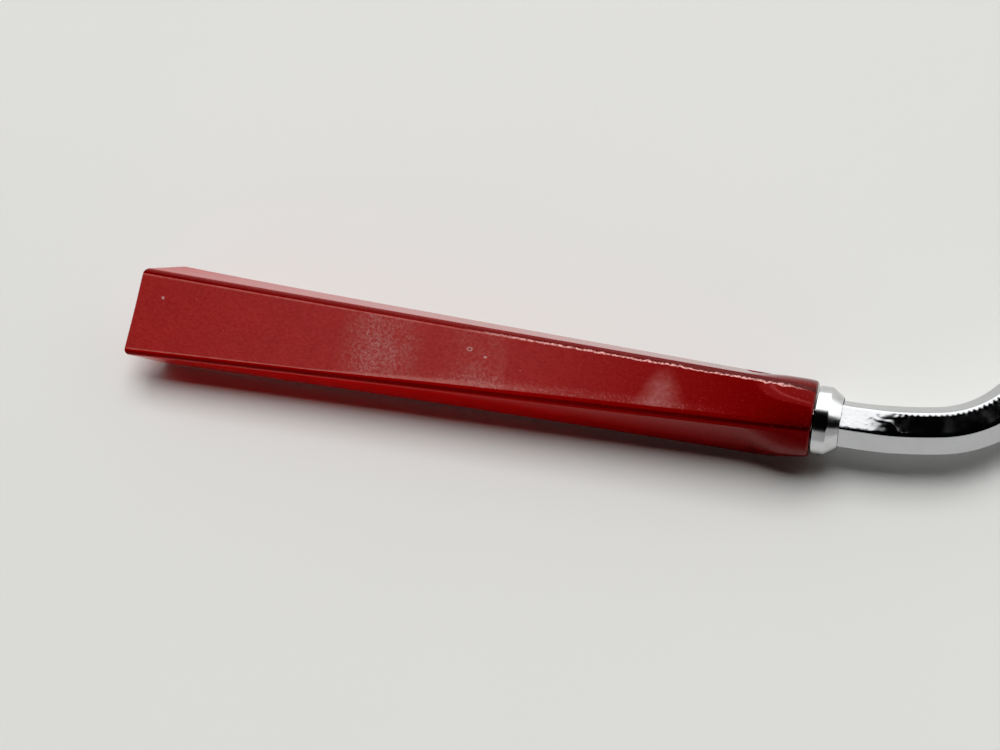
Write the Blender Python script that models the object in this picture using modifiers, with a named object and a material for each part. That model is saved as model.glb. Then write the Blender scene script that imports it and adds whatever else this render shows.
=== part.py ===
"""Grill spatula: lacquered handle, chrome ferrule, cranked hexagon bar and slotted steel blade.

Metres, +Z up. +X runs from the handle's butt to the blade's cutting edge, +Y is the side
that the neck is cranked towards, and the tool lies on a flat surface at Z = 0.
The origin is the middle of the bounding box's bottom.
"""
import math

import bmesh
import bpy
from mathutils import Matrix, Vector

# ---------------------------------------------------------------- driving dimensions
GAP = 0.0003                 # clearance between touching pieces

# handle: a loft from a rolled rounded trapezium at the butt to a circle at the ferrule, whose
# sides stay flat and whose lower edges stay out until close to the ferrule
HANDLE_LENGTH = 0.1660
AXIS_HEIGHT = 0.0096         # height of the handle's and the bar's axis above the table
BUTT_HALF_TOP = 0.0107       # half width of the butt's top, before its corners are rounded
BUTT_HALF_BOTTOM = 0.0128
BUTT_THICKNESS = 0.0114
BUTT_CORNER_RADIUS = 0.0013
BUTT_ROLL = math.radians(20.0)      # the butt's flat is rolled towards -Y
BUTT_UNDERCUT = 0.0062       # how far the end face leans in from its top edge to its bottom
BUTT_SKEW = 0.0032           # how much further back its near end is than its far end
BUTT_EDGE_RADIUS = 0.0005
FRONT_RADIUS = 0.0091        # the handle's round end, before its shoulder
SHOULDER_LENGTH = 0.0080
SHOULDER_DROP = 0.0006
FRONT_EDGE_RADIUS = 0.0008
FACET_ANGLE = math.radians(27.5)    # where the flat's edges run out on the round end
CORNER_ANGLE = math.radians(39.0)   # where the rounded corners run out on the round end
FAR_HELD = (0.42, 0.07, 8.0)        # slope, start and power of how the +Y lower edge closes in,
NEAR_HELD = (0.0, 0.48, 1.8)        # and the -Y one
HELD_UNTIL = 0.95                   # share of the length where the lower edges let go
FLAT_UNTIL = 0.89                   # share of the length where the sides start to round
BORE_RADIUS = 0.0053
BORE_DEPTH = 0.0340

# threaded insert in the handle
INSERT_RADIUS = BORE_RADIUS - GAP
INSERT_BORE_RADIUS = 0.0034
INSERT_LENGTH = 0.0280
INSERT_GROOVE_DEPTH = 0.0006

# ferrule
FERRULE_LENGTH = 0.0056
FERRULE_RADIUS = 0.0077
FERRULE_LAND = 0.0029        # length of its straight part
FERRULE_MOUTH_RADIUS = 0.00590
FERRULE_RECESS_RADIUS = 0.00572
FERRULE_WEB = 0.0024

# neck: hexagon bar with one flat up, a round tang behind and a forged palm in front
BAR_ACROSS_FLATS = 0.0095
BAR_CORNER_RADIUS = 0.0006
TANG_RADIUS = 0.0031
TANG_LENGTH = 0.0300
LEAD_RADIUS = 0.1000         # gentle start of the first bend
LEAD_ANGLE = math.radians(11.5)
BEND_RADIUS = 0.0245
BEND_ANGLE = math.radians(48.0)
LEAD_STRAIGHT = 0.0045       # straight bar from the shoulder in the ferrule
CRANK_STRAIGHT = 0.0200      # between the two bends
FRONT_STRAIGHT = 0.0280      # after the second bend
DROP_LENGTH = 0.0300         # where the bar falls and spreads to the palm
PALM_LENGTH = 0.0340
PALM_HALF_WIDTH = 0.0125
PALM_THICKNESS = 0.0032

# blade
BLADE_THICKNESS = 0.0014
BLADE_LENGTH = 0.1200
BLADE_REAR_WIDTH = 0.0780
BLADE_FRONT_WIDTH = 0.0900
BLADE_REAR_RADIUS = 0.0180
BLADE_FRONT_RADIUS = 0.0080
BLADE_OVERLAP = 0.0400       # length of the palm that lies over the blade
EDGE_BEVEL_LENGTH = 0.0060
EDGE_THICKNESS = 0.0004
SLOT_COUNT = 5
SLOT_PITCH = 0.0135
SLOT_WIDTH = 0.0062
SLOT_FRONT_MARGIN = 0.0170   # from the cutting edge to the slots' ends
SLOT_LENGTHS = (0.0480, 0.0560, 0.0560, 0.0560, 0.0480)

# rivets
RIVET_SHANK_RADIUS = 0.0025
RIVET_HEAD_RADIUS = 0.0043
RIVET_HEAD_HEIGHT = 0.0018
RIVET_ALONG = (0.0110, 0.0110, 0.0250)      # from the palm's rear end
RIVET_ACROSS = (-0.0062, 0.0062, 0.0)

COLLECTION_NAME = "grill_spatula"
FERRULE_BACK = HANDLE_LENGTH + GAP
SHOULDER_AT = FERRULE_BACK + FERRULE_WEB + GAP
BAR_HALF_HEIGHT = BAR_ACROSS_FLATS / 2
PALM_BOTTOM = BLADE_THICKNESS + GAP
PALM_TOP = PALM_BOTTOM + PALM_THICKNESS


# ---------------------------------------------------------------- plane geometry
def rounded_corner(corner, direction_in, direction_out, radius, steps):
    """Arc that replaces a corner of a clockwise outline, as steps + 1 points."""
    turn = abs(direction_in.angle_signed(direction_out))
    setback = radius * math.tan(turn / 2)
    outward = Vector((-direction_in.y, direction_in.x))
    centre = corner - direction_in * setback - outward * radius
    arc = []
    for step in range(steps + 1):
        angle = turn * step / steps
        arc.append(centre + radius * (math.cos(angle) * outward + math.sin(angle) * direction_in))
    return arc


def rounded_polygon(corners, radii, steps):
    """Clockwise outline through the rounded corners."""
    outline = []
    for i, corner in enumerate(corners):
        direction_in = (corner - corners[i - 1]).normalized()
        direction_out = (corners[(i + 1) % len(corners)] - corner).normalized()
        outline += rounded_corner(corner, direction_in, direction_out, radii[i], steps)
    return outline


def smooth_step(value):
    """0 below 0, 1 above 1, and a smooth rise between."""
    value = min(max(value, 0.0), 1.0)
    return value * value * (3 - 2 * value)


def mix(a, b, share):
    return a + (b - a) * share


# ---------------------------------------------------------------- mesh and material helpers
def make_material(name, colour, roughness, metallic):
    material = bpy.data.materials.new(name)
    material.use_nodes = True
    shader = material.node_tree.nodes["Principled BSDF"]
    shader.inputs["Base Color"].default_value = (*colour, 1.0)
    shader.inputs["Roughness"].default_value = roughness
    shader.inputs["Metallic"].default_value = metallic
    return material


def make_collection(name):
    collection = bpy.data.collections.new(name)
    bpy.context.scene.collection.children.link(collection)
    return collection


def add_object(name, data, collection, material=None):
    thing = bpy.data.objects.new(name, data)
    collection.objects.link(thing)
    if material:
        data.materials.append(material)
    return thing


def shade_round(mesh, sharp_angle=math.radians(32)):
    mesh.shade_smooth()
    mesh.set_sharp_from_angle(angle=sharp_angle)


def loft_mesh(name, rings):
    """Closed skin over rings of equally many points, with a flat cap on each end ring."""
    cage = bmesh.new()
    loops = [[cage.verts.new(point) for point in ring] for ring in rings]
    count = len(loops[0])
    for loop, following in zip(loops, loops[1:]):
        for i in range(count):
            j = (i + 1) % count
            cage.faces.new((loop[i], loop[j], following[j], following[i]))
    cage.faces.new(loops[0])
    cage.faces.new(loops[-1])
    bmesh.ops.recalc_face_normals(cage, faces=cage.faces)
    mesh = bpy.data.meshes.new(name)
    cage.to_mesh(mesh)
    cage.free()
    return mesh


def profile_mesh(name, points, closed):
    """Edges in the XZ plane, ready for a Screw modifier."""
    mesh = bpy.data.meshes.new(name)
    edges = [(i, i + 1) for i in range(len(points) - 1)]
    if closed:
        edges.append((len(points) - 1, 0))
    mesh.from_pydata([(radius, 0.0, height) for radius, height in points], edges, [])
    return mesh


def add_turned(name, points, closed, steps, collection, material):
    """Turned piece about its own Z axis; points run down the outer side."""
    piece = add_object(name, profile_mesh(name, points, closed), collection, material)
    screw = piece.modifiers.new("Turn", "SCREW")
    screw.axis = "Z"
    screw.steps = steps
    screw.render_steps = steps
    screw.use_merge_vertices = True
    screw.merge_threshold = 0.00001
    screw.use_smooth_shade = True
    return piece


def apply_modifiers(thing):
    """Gives a mesh object the shape its modifiers show, or turns a curve object into a mesh."""
    depsgraph = bpy.context.evaluated_depsgraph_get()
    mesh = bpy.data.meshes.new_from_object(thing.evaluated_get(depsgraph))
    cage = bmesh.new()
    cage.from_mesh(mesh)
    bmesh.ops.remove_doubles(cage, verts=cage.verts, dist=0.000001)
    bmesh.ops.recalc_face_normals(cage, faces=cage.faces)
    cage.to_mesh(mesh)
    cage.free()
    return mesh


def add_cylinder_cutter(name, radius, start, end, cutters):
    """Closed cylinder between two points, used only to cut."""
    axis = end - start
    cage = bmesh.new()
    turn = axis.to_track_quat("Z", "Y").to_matrix().to_4x4()
    place = Matrix.Translation((start + end) / 2) @ turn
    bmesh.ops.create_cone(cage, cap_ends=True, segments=32, radius1=radius, radius2=radius,
                          depth=axis.length, matrix=place)
    mesh = bpy.data.meshes.new(name)
    cage.to_mesh(mesh)
    cage.free()
    return add_cutter(name, mesh, cutters)


def add_cutter(name, mesh, cutters):
    cutter = add_object(name, mesh, cutters)
    cutter.display_type = "WIRE"
    cutter.hide_render = True
    return cutter


def cut(piece, cutter):
    boolean = piece.modifiers.new("Cut " + cutter.name, "BOOLEAN")
    boolean.operation = "DIFFERENCE"
    boolean.solver = "EXACT"
    boolean.object = cutter


# ---------------------------------------------------------------- handle
# steps of the handle's section, clockwise from its +Y top corner: each corner, then the run after it
CORNER_STEPS, SIDE_STEPS, FLAT_STEPS = 4, 10, 8
RUN_STEPS = (SIDE_STEPS, FLAT_STEPS, SIDE_STEPS, FLAT_STEPS)
NEAR_SIDE_START = 3 * CORNER_STEPS + SIDE_STEPS + FLAT_STEPS
TOP_START = NEAR_SIDE_START + SIDE_STEPS + CORNER_STEPS
FLAT_RUNS = ((CORNER_STEPS, SIDE_STEPS), (NEAR_SIDE_START, SIDE_STEPS), (TOP_START, FLAT_STEPS))
# how much each corner and the start and end of its run follow the +Y and the -Y lower edge
CORNER_EDGES = ((0, 0), (1, 0), (0, 1), (0, 0))
RUN_EDGES = (((0, 0), (0, 0)), ((1, 0), (0, 1)), ((0, 1), (0, 0)), ((0, 0), (0, 0)))


def butt_outline():
    """The butt's section in its own plane, with the direction each point reaches at the front.

    Each entry is (across, up, front angle, share of the +Y lower edge, share of the -Y one).
    """
    half = BUTT_THICKNESS / 2
    corners = [Vector((BUTT_HALF_TOP, half)), Vector((BUTT_HALF_BOTTOM, -half)),
               Vector((-BUTT_HALF_BOTTOM, -half)), Vector((-BUTT_HALF_TOP, half))]
    arcs = rounded_polygon(corners, [BUTT_CORNER_RADIUS] * 4, CORNER_STEPS)
    arcs = [arcs[i:i + CORNER_STEPS + 1] for i in range(0, len(arcs), CORNER_STEPS + 1)]
    spans = [(FACET_ANGLE, CORNER_ANGLE), (math.pi - CORNER_ANGLE, math.pi - FACET_ANGLE),
             (math.pi + FACET_ANGLE, math.pi + CORNER_ANGLE),
             (2 * math.pi - CORNER_ANGLE, 2 * math.pi - FACET_ANGLE)]
    outline = []
    for number, (arc, span) in enumerate(zip(arcs, spans)):
        for step in range(CORNER_STEPS):
            outline.append((*arc[step], mix(*span, step / CORNER_STEPS), *CORNER_EDGES[number]))
        following = arcs[(number + 1) % 4][0]
        next_angle = spans[(number + 1) % 4][0]
        if next_angle < span[1]:
            next_angle += 2 * math.pi
        for step in range(RUN_STEPS[number]):
            share = step / RUN_STEPS[number]
            edges = [mix(*ends, share) for ends in zip(*RUN_EDGES[number])]
            outline.append((*arc[-1].lerp(following, share), mix(span[1], next_angle, share), *edges))
    return outline


def held_share(share, slope, start, power):
    """Share of the way to the front's shape, for a lower edge, which stays out for longer."""
    kept = slope * share + start * (1 - (1 - share) ** power)
    return mix(kept, 1.0, smooth_step((share - HELD_UNTIL) / (1 - HELD_UNTIL)))


def handle_ring(outline, along_at, inset):
    """Ring of the handle; along_at(across, up) gives each point's distance from the butt."""
    turned = Matrix.Rotation(BUTT_ROLL, 2)
    shares, section = [], []
    for across, up, angle, far, near in outline:
        share = min(along_at(across, up) / HANDLE_LENGTH, 1.0)
        butt_point = turned @ Vector((across, up))
        front_point = FRONT_RADIUS * Vector((math.sin(angle), math.cos(angle)))
        change = (far * held_share(share, *FAR_HELD) + near * held_share(share, *NEAR_HELD)
                  + (1 - far - near) * share)
        section.append(butt_point.lerp(front_point, change))
        shares.append(share)
    for start, steps in FLAT_RUNS:
        for step in range(1, steps):
            place = start + step
            flat = section[start].lerp(section[(start + steps) % len(section)], step / steps)
            rounding = smooth_step((shares[place] - FLAT_UNTIL) / (1 - FLAT_UNTIL))
            section[place] = flat.lerp(section[place], rounding)
    ring = []
    for share, point in zip(shares, section):
        along = share * HANDLE_LENGTH
        shoulder = max(0.0, (along - HANDLE_LENGTH + SHOULDER_LENGTH) / SHOULDER_LENGTH)
        point -= point.normalized() * (inset + SHOULDER_DROP * shoulder ** 2)
        ring.append((along, point.x, AXIS_HEIGHT + point.y))
    return ring


def handle_rings():
    outline = butt_outline()

    def end_face(across, up):
        slant = BUTT_SKEW * (0.5 + across / (2 * BUTT_HALF_BOTTOM))
        return slant + BUTT_UNDERCUT * (0.5 - up / BUTT_THICKNESS)

    def station(start, share):
        front = HANDLE_LENGTH - FRONT_EDGE_RADIUS
        return lambda across, up: mix(end_face(across, up) + start, front, share)

    rings = []
    for angle in (0.0, 30.0, 60.0):
        inset = BUTT_EDGE_RADIUS * (1 - math.sin(math.radians(angle)))
        set_back = BUTT_EDGE_RADIUS * (1 - math.cos(math.radians(angle)))
        rings.append(handle_ring(outline, station(set_back, 0.0), inset))
    body_steps = 36
    for step in range(body_steps + 1):
        rings.append(handle_ring(outline, station(BUTT_EDGE_RADIUS, step / body_steps), 0.0))
    for angle in (30.0, 60.0, 90.0):
        inset = FRONT_EDGE_RADIUS * (1 - math.cos(math.radians(angle)))
        reach = FRONT_EDGE_RADIUS * (1 - math.sin(math.radians(angle)))
        rings.append(handle_ring(outline, lambda across, up, reach=reach: HANDLE_LENGTH - reach, inset))
    return rings


def add_handle(collection, cutters):
    lacquer = make_material("red_lacquer", (0.30, 0.006, 0.008), 0.18, 0.0)
    mesh = loft_mesh("handle", handle_rings())
    shade_round(mesh)
    handle = add_object("handle", mesh, collection, lacquer)
    bore = add_cylinder_cutter("handle_bore", BORE_RADIUS,
                               Vector((HANDLE_LENGTH - BORE_DEPTH, 0, AXIS_HEIGHT)),
                               Vector((HANDLE_LENGTH + 0.01, 0, AXIS_HEIGHT)), cutters)
    cut(handle, bore)
    return handle


def add_tang_insert(collection):
    """Grooved brass sleeve that is moulded into the handle and takes the bar's tang."""
    brass = make_material("brass", (0.70, 0.50, 0.20), 0.35, 1.0)
    groove_radius = INSERT_RADIUS - INSERT_GROOVE_DEPTH
    groove_count = 4
    pitch = INSERT_LENGTH / groove_count
    points = []
    for number in range(groove_count):
        top = INSERT_LENGTH - number * pitch
        points += [(INSERT_RADIUS, top), (INSERT_RADIUS, top - pitch * 0.6),
                   (groove_radius, top - pitch * 0.65), (groove_radius, top - pitch * 0.95)]
    points += [(INSERT_RADIUS, 0.0), (INSERT_BORE_RADIUS, 0.0), (INSERT_BORE_RADIUS, INSERT_LENGTH)]
    insert = add_turned("tang_insert", points, True, 32, collection, brass)
    insert.rotation_euler = (0, math.pi / 2, 0)
    insert.location = (HANDLE_LENGTH - INSERT_LENGTH - GAP, 0, AXIS_HEIGHT)
    return insert


# ---------------------------------------------------------------- ferrule
def add_ferrule(collection):
    chrome = make_material("chrome_ferrule", (0.80, 0.81, 0.83), 0.08, 1.0)
    back_bevel = 0.0003
    hole_radius = TANG_RADIUS + GAP
    points = [(FERRULE_MOUTH_RADIUS, FERRULE_LENGTH), (FERRULE_RADIUS, FERRULE_LAND),
              (FERRULE_RADIUS, back_bevel), (FERRULE_RADIUS - back_bevel, 0.0),
              (hole_radius, 0.0), (hole_radius, FERRULE_WEB),
              (FERRULE_RECESS_RADIUS, FERRULE_WEB), (FERRULE_RECESS_RADIUS, FERRULE_LENGTH)]
    ferrule = add_turned("ferrule", points, True, 56, collection, chrome)
    ferrule.rotation_euler = (0, math.pi / 2, 0)
    ferrule.location = (FERRULE_BACK, 0, AXIS_HEIGHT)
    return ferrule


# ---------------------------------------------------------------- neck
def neck_path():
    """Stations (travelled, x, y, heading) along the bar's centreline, from its shoulder."""
    rest_angle = BEND_ANGLE - LEAD_ANGLE
    runs = [(LEAD_STRAIGHT, 0.0, 3), (LEAD_RADIUS * LEAD_ANGLE, LEAD_ANGLE, 4),
            (BEND_RADIUS * rest_angle, rest_angle, 10), (CRANK_STRAIGHT, 0.0, 2),
            (BEND_RADIUS * BEND_ANGLE, -BEND_ANGLE, 12), (FRONT_STRAIGHT, 0.0, 2),
            (DROP_LENGTH, 0.0, 12), (PALM_LENGTH, 0.0, 1)]
    stations = [(0.0, SHOULDER_AT, 0.0, 0.0)]
    for length, bend, steps in runs:
        for _ in range(steps):
            travelled, x, y, heading = stations[-1]
            step_length = length / steps
            half_bend = bend / steps / 2
            chord = step_length
            if half_bend:
                chord = step_length * math.sin(half_bend) / half_bend
            x += chord * math.cos(heading + half_bend)
            y += chord * math.sin(heading + half_bend)
            stations.append((travelled + step_length, x, y, heading + 2 * half_bend))
    return stations


def bar_ring(station, low, high, half_flat, half_width):
    """Hexagon ring between two heights, square to the path, with rounded corners."""
    _, x, y, heading = station
    middle = (low + high) / 2
    half = (high - low) / 2
    corners = [Vector((half_flat, half)), Vector((half_width, 0.0)), Vector((half_flat, -half)),
               Vector((-half_flat, -half)), Vector((-half_width, 0.0)), Vector((-half_flat, half))]
    outline = rounded_polygon(corners, [BAR_CORNER_RADIUS] * 6, 3)
    side = Vector((-math.sin(heading), math.cos(heading)))
    return [(x + point.x * side.x, y + point.x * side.y, middle + point.y) for point in outline]


def tang_rings(hexagon):
    """Round tang behind the bar's shoulder, with as many points as the hexagon has."""
    centre = Vector((SHOULDER_AT, 0.0, AXIS_HEIGHT))
    chamfer = 0.0008
    rings = []
    for back, radius in ((TANG_LENGTH, TANG_RADIUS - chamfer), (TANG_LENGTH - chamfer, TANG_RADIUS),
                         (0.0, TANG_RADIUS)):
        ring = []
        for point in hexagon:
            out = (Vector(point) - centre).normalized() * radius
            ring.append(tuple(centre + out - Vector((back, 0.0, 0.0))))
        rings.append(ring)
    return rings


def neck_rings():
    side = BAR_ACROSS_FLATS / math.sqrt(3)
    stations = neck_path()
    total = stations[-1][0]
    drop_from = total - PALM_LENGTH - DROP_LENGTH
    bar_low = AXIS_HEIGHT - BAR_HALF_HEIGHT
    bar_high = AXIS_HEIGHT + BAR_HALF_HEIGHT
    palm_flat = PALM_HALF_WIDTH - PALM_THICKNESS * 0.3
    rings = []
    for station in stations[:-1]:
        share = smooth_step((station[0] - drop_from) / DROP_LENGTH)
        spread = smooth_step((station[0] - drop_from - DROP_LENGTH * 0.15) / (DROP_LENGTH * 0.85))
        rings.append(bar_ring(station, mix(bar_low, PALM_BOTTOM, share),
                              mix(bar_high, PALM_TOP, share), mix(side / 2, palm_flat, spread),
                              mix(side, PALM_HALF_WIDTH, spread)))
    # the palm: parallel, then a half-round end
    _, x, y, heading = stations[-2]
    round_length = PALM_HALF_WIDTH * 1.1
    for angle in (0, 20, 38, 54, 68, 79):
        reach = PALM_LENGTH - round_length * (1 - math.sin(math.radians(angle)))
        narrow = math.cos(math.radians(angle))
        end = (0.0, x + reach * math.cos(heading), y + reach * math.sin(heading), heading)
        half_width = PALM_HALF_WIDTH * narrow
        rings.append(bar_ring(end, PALM_BOTTOM, PALM_TOP,
                              half_width - PALM_THICKNESS * 0.3, half_width))
    return tang_rings(rings[0]) + rings


def palm_start():
    """Where the bar's palm starts, seen from above; the palm points along +X."""
    _, x, y, _ = neck_path()[-2]
    return x, y


def add_neck_bar(collection, cutters):
    chrome = make_material("chrome_bar", (0.78, 0.79, 0.81), 0.06, 1.0)
    mesh = loft_mesh("neck_bar", neck_rings())
    shade_round(mesh)
    neck = add_object("neck_bar", mesh, collection, chrome)
    for number, (x, y) in enumerate(rivet_centres(), 1):
        hole = add_cylinder_cutter(f"palm_hole_{number}", RIVET_SHANK_RADIUS + GAP,
                                   Vector((x, y, -0.002)), Vector((x, y, PALM_TOP + 0.002)), cutters)
        cut(neck, hole)
    return neck


# ---------------------------------------------------------------- blade and rivets
def rivet_centres():
    palm_x, palm_y = palm_start()
    return [(palm_x + along, palm_y + across) for along, across in zip(RIVET_ALONG, RIVET_ACROSS)]


def blade_span():
    """X of the blade's rear edge and of its cutting edge."""
    rear = palm_start()[0] + PALM_LENGTH - BLADE_OVERLAP
    return rear, rear + BLADE_LENGTH


def add_loop(curve, points):
    spline = curve.splines.new("POLY")
    spline.points.add(len(points) - 1)
    for slot, point in zip(spline.points, points):
        slot.co = (point[0], point[1], 0.0, 1.0)
    spline.use_cyclic_u = True


def slot_outline(front_x, centre_y, length):
    """Slot with half-round ends."""
    radius = SLOT_WIDTH / 2
    points = []
    for centre_x, start in ((front_x - radius, -90), (front_x - length + radius, 90)):
        for step in range(9):
            angle = math.radians(start + 180 * step / 8)
            points.append((centre_x + radius * math.cos(angle), centre_y + radius * math.sin(angle)))
    return points


def slot_places():
    """Each slot's front end, centreline and length."""
    middle = palm_start()[1]
    front = blade_span()[1] - SLOT_FRONT_MARGIN
    for number, length in enumerate(SLOT_LENGTHS):
        yield front, middle + (number - (SLOT_COUNT - 1) / 2) * SLOT_PITCH, length


def blade_outline():
    """Trapezium with rounded corners, wider at the cutting edge."""
    middle = palm_start()[1]
    rear, front = blade_span()
    rear_half, front_half = BLADE_REAR_WIDTH / 2, BLADE_FRONT_WIDTH / 2
    corners = [Vector((rear, middle + rear_half)), Vector((front, middle + front_half)),
               Vector((front, middle - front_half)), Vector((rear, middle - rear_half))]
    radii = [BLADE_REAR_RADIUS, BLADE_FRONT_RADIUS, BLADE_FRONT_RADIUS, BLADE_REAR_RADIUS]
    return rounded_polygon(corners, radii, 8)


def blade_curve():
    curve = bpy.data.curves.new("blade_outline", "CURVE")
    curve.dimensions = "2D"
    curve.fill_mode = "BOTH"
    curve.extrude = BLADE_THICKNESS / 2
    add_loop(curve, blade_outline())
    for front_x, centre_y, length in slot_places():
        add_loop(curve, slot_outline(front_x, centre_y, length))
    for x, y in rivet_centres():
        radius = RIVET_SHANK_RADIUS + GAP
        add_loop(curve, [(x + radius * math.cos(math.tau * i / 24),
                          y + radius * math.sin(math.tau * i / 24)) for i in range(24)])
    return curve


def edge_cutter(cutters):
    """Wedge that bevels the top of the cutting edge."""
    front = blade_span()[1]
    middle = palm_start()[1]
    reach = 0.01
    slope = (BLADE_THICKNESS - EDGE_THICKNESS) / EDGE_BEVEL_LENGTH
    section = [(front - EDGE_BEVEL_LENGTH - reach, BLADE_THICKNESS + slope * reach),
               (front + reach, EDGE_THICKNESS - slope * reach),
               (front + reach, BLADE_THICKNESS + reach)]
    rings = [[(x, middle + side * BLADE_FRONT_WIDTH, z) for x, z in section] for side in (-1, 1)]
    return add_cutter("edge_wedge", loft_mesh("edge_wedge", rings), cutters)


def add_blade(collection, cutters):
    steel = make_material("stainless_steel", (0.62, 0.62, 0.61), 0.28, 1.0)
    flat = add_object("blade_flat", blade_curve(), collection)
    flat.location = (0, 0, BLADE_THICKNESS / 2)
    bpy.context.view_layer.update()
    mesh = apply_modifiers(flat)
    mesh.name = "blade"
    blade = add_object("blade", mesh, collection, steel)
    blade.matrix_world = flat.matrix_world.copy()
    bpy.data.objects.remove(flat)
    cut(blade, edge_cutter(cutters))
    return blade


def add_rivets(collection):
    steel = make_material("rivet_steel", (0.66, 0.66, 0.65), 0.22, 1.0)
    seat = PALM_TOP + GAP
    points = []
    for step in range(7):
        angle = math.radians(90 * step / 6)
        points.append((RIVET_HEAD_RADIUS * math.sin(angle), seat + RIVET_HEAD_HEIGHT * math.cos(angle)))
    points += [(RIVET_SHANK_RADIUS, seat), (RIVET_SHANK_RADIUS, 0.0), (0.0, 0.0)]
    rivets = []
    for number, (x, y) in enumerate(rivet_centres(), 1):
        rivet = add_turned(f"rivet_{number}", points, False, 24, collection, steel)
        rivet.location = (x, y, 0.0)
        rivets.append(rivet)
    return rivets


# ---------------------------------------------------------------- assembly
def box_middle():
    """Middle of the whole tool's bounding box, seen from above, in the handle's frame."""
    lowest_y = min(y for ring in handle_rings() for _, y, _ in ring)
    highest_y = max(point.y for point in blade_outline())
    return Vector((blade_span()[1] / 2, (lowest_y + highest_y) / 2, 0.0))


def main():
    for thing in list(bpy.data.objects):
        bpy.data.objects.remove(thing)
    collection = make_collection(COLLECTION_NAME)
    cutters = make_collection("cutters")
    add_handle(collection, cutters)
    add_tang_insert(collection)
    add_ferrule(collection)
    add_neck_bar(collection, cutters)
    add_blade(collection, cutters)
    add_rivets(collection)
    origin = bpy.data.objects.new("tool_origin", None)
    collection.objects.link(origin)
    for thing in list(collection.objects) + list(cutters.objects):
        if thing is not origin:
            thing.parent = origin
    origin.location = -box_middle()
    bpy.context.view_layer.update()


main()
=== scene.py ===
"""Looks of the grill spatula: seven pieces are rebuilt finely in the place of their CAD nodes, and
the hidden insert keeps its CAD shape."""
import math

import bmesh
import bpy
from mathutils import Matrix, Vector


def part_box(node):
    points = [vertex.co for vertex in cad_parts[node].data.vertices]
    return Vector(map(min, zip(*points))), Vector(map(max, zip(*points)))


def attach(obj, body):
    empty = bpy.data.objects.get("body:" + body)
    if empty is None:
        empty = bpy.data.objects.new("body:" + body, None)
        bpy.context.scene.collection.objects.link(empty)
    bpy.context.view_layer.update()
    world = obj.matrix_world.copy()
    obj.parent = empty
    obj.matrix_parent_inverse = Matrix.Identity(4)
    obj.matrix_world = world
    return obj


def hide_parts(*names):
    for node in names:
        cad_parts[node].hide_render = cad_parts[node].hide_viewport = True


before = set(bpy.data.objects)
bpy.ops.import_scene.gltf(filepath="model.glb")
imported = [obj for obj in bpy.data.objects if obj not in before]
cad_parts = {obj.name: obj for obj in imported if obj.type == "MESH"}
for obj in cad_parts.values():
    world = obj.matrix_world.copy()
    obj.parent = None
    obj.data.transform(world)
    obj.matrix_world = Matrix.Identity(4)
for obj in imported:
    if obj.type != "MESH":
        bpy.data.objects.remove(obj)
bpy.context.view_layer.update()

# ---------------------------------------------------------------- driving dimensions, in metres
GAP = 0.0003
HANDLE_LENGTH = 0.1660
BUTT_HALF_TOP = 0.0107
BUTT_HALF_BOTTOM = 0.0128
BUTT_THICKNESS = 0.0114
BUTT_CORNER_RADIUS = 0.0013
BUTT_ROLL = math.radians(20.0)
BUTT_UNDERCUT = 0.0062
BUTT_SKEW = 0.0032
BUTT_EDGE_RADIUS = 0.0005
FRONT_RADIUS = 0.0091
SHOULDER_LENGTH = 0.0080
SHOULDER_DROP = 0.0006
FRONT_EDGE_RADIUS = 0.0008
FACET_ANGLE = math.radians(27.5)
CORNER_ANGLE = math.radians(39.0)
FAR_HELD = (0.42, 0.07, 8.0)           # slope, start and power of how the far lower edge closes in,
NEAR_HELD = (0.0, 0.48, 1.8)           # and the near one
HELD_UNTIL = 0.95                      # share of the length where the lower edges let go
FLAT_UNTIL = 0.89                      # share of the length where the sides start to round
BORE_RADIUS = 0.0053
BORE_DEPTH = 0.0340

FERRULE_LAND = 0.0029
FERRULE_MOUTH_RADIUS = 0.00590
FERRULE_RECESS_RADIUS = 0.00572
FERRULE_WEB = 0.0024

BAR_ACROSS_FLATS = 0.0095
BAR_CORNER_RADIUS = 0.0006
FIRST_TWIST = math.radians(2.4)        # the bar's start leans towards +Y, and straightens in the bend
WRINKLE_PITCH = 0.00128                # pressing marks on the inner top edge of the first bend
WRINKLE_BEAT = 0.0031
WRINKLE_HEIGHT = 0.000011
FINE_SPACING = 0.00018                 # between rings in the first runs of the path,
COARSE_SPACING = 0.0009                # and in the others
FINE_RUNS = 4
BAR_CORNER_STEPS = 7
BAR_FLAT_STEPS = (5, 5, 8, 5, 5, 8)    # clockwise from the far upper flat; the top flat is the last
TANG_RADIUS = 0.0031
TANG_LENGTH = 0.0300
LEAD_RADIUS = 0.1000
LEAD_ANGLE = math.radians(11.5)
BEND_RADIUS = 0.0245
BEND_ANGLE = math.radians(48.0)
LEAD_STRAIGHT = 0.0045
CRANK_STRAIGHT = 0.0200
FRONT_STRAIGHT = 0.0280
DROP_LENGTH = 0.0300
PALM_LENGTH = 0.0340
PALM_HALF_WIDTH = 0.0125
PALM_THICKNESS = 0.0032

BLADE_REAR_WIDTH = 0.0780
BLADE_FRONT_WIDTH = 0.0900
BLADE_REAR_RADIUS = 0.0180
BLADE_FRONT_RADIUS = 0.0080
BLADE_EDGE_ROUND = 0.00018
EDGE_BEVEL_LENGTH = 0.0060
EDGE_THICKNESS = 0.0004
SLOT_PITCH = 0.0135
SLOT_WIDTH = 0.0062
SLOT_FRONT_MARGIN = 0.0170
SLOT_LENGTHS = (0.0480, 0.0560, 0.0560, 0.0560, 0.0480)
RIVET_SHANK_RADIUS = 0.0025
RIVET_HEAD_HEIGHT = 0.0018

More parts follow.
